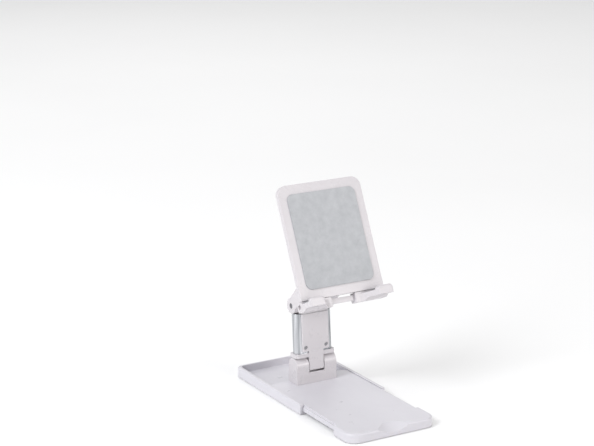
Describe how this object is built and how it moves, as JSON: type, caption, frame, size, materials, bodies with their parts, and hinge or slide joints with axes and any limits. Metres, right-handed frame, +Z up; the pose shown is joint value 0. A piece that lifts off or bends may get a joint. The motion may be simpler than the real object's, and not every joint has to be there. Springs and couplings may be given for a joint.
{
  "type": "tablet stand",
  "caption": "Adjustable tablet stand with a pull-out weighted base, chrome lower arm, hinged upper arm and a tilting cradle with hooks.",
  "frame": {"origin": "middle of the footprint on the table, with the base pulled out to its full length", "axes": "+Z up; the cradle and the person in front of it are on -Y, the open tray of the base is on +Y; +X is to the right as seen by that person"},
  "size_m": [0.0612, 0.1386, 0.1365],
  "materials": {
    "base_plastic": "semi-gloss moulded white",
    "shell_plastic": "semi-gloss moulded white",
    "inner_plastic": "fine matte",
    "chrome_sleeve": "polished plating",
    "inner_steel": "zinc plated",
    "pin_steel": "turned steel",
    "screw_steel": "nickel plated",
    "silicone": "matte silicone",
    "foot_rubber": "matte rubber"
  },
  "bodies": {
    "tray": {"base_tray": "base_plastic", "tray_feet": "foot_rubber"},
    "slide": {"slide_deck": "base_plastic", "slide_weight": "inner_steel", "slide_cover": "inner_plastic", "slide_stops": "inner_plastic", "lip_feet": "foot_rubber", "hinge_block": "shell_plastic", "hinge_block_screws": "screw_steel", "base_hinge_pin": "pin_steel", "base_pin_cap": "shell_plastic", "base_friction_washers": "pin_steel"},
    "lower_arm": {"lower_arm_foot": "shell_plastic", "lower_arm_sleeve": "chrome_sleeve", "lower_arm_spar": "inner_steel", "lower_arm_head": "shell_plastic", "front_plate": "shell_plastic", "front_plate_screws": "screw_steel", "rear_plate": "shell_plastic", "rear_plate_screws": "screw_steel"},
    "upper_arm": {"upper_arm_body": "shell_plastic", "upper_arm_cover": "shell_plastic", "upper_arm_strut": "inner_steel", "upper_arm_screws": "screw_steel", "elbow_pin": "pin_steel", "elbow_friction_washers": "pin_steel"},
    "cradle": {"cradle_pin": "pin_steel", "cradle_friction_washers": "pin_steel", "cradle_bracket": "shell_plastic", "cradle_bracket_screws": "screw_steel", "cradle_plate": "shell_plastic", "cradle_pad": "silicone", "left_hook": "shell_plastic", "right_hook": "shell_plastic", "hook_bar": "shell_plastic", "hook_rod": "pin_steel", "hook_pads": "silicone", "hook_screws": "screw_steel"}
  },
  "joints": [
    {"name": "base_slide", "type": "slide", "parent": "tray", "child": "slide", "axis": [0, -1, 0], "range_m": [-0.038, 0]},
    {"name": "base_hinge", "type": "hinge", "parent": "slide", "child": "lower_arm", "pos_m": [0, 0.0239, 0.0174], "axis": [-1, 0, 0], "range_deg": [-80, 10]},
    {"name": "elbow_hinge", "type": "hinge", "parent": "lower_arm", "child": "upper_arm", "pos_m": [0, 0.02663, 0.0564], "axis": [-1, 0, 0], "range_deg": [-10, 80]},
    {"name": "cradle_tilt", "type": "hinge", "parent": "upper_arm", "child": "cradle", "pos_m": [0, 0.00453, 0.0801], "axis": [1, 0, 0], "range_deg": [-65, 12]}
  ],
  "couplings": [
    {"joint": "elbow_hinge", "follows": "base_hinge", "ratio": -1}
  ]
}
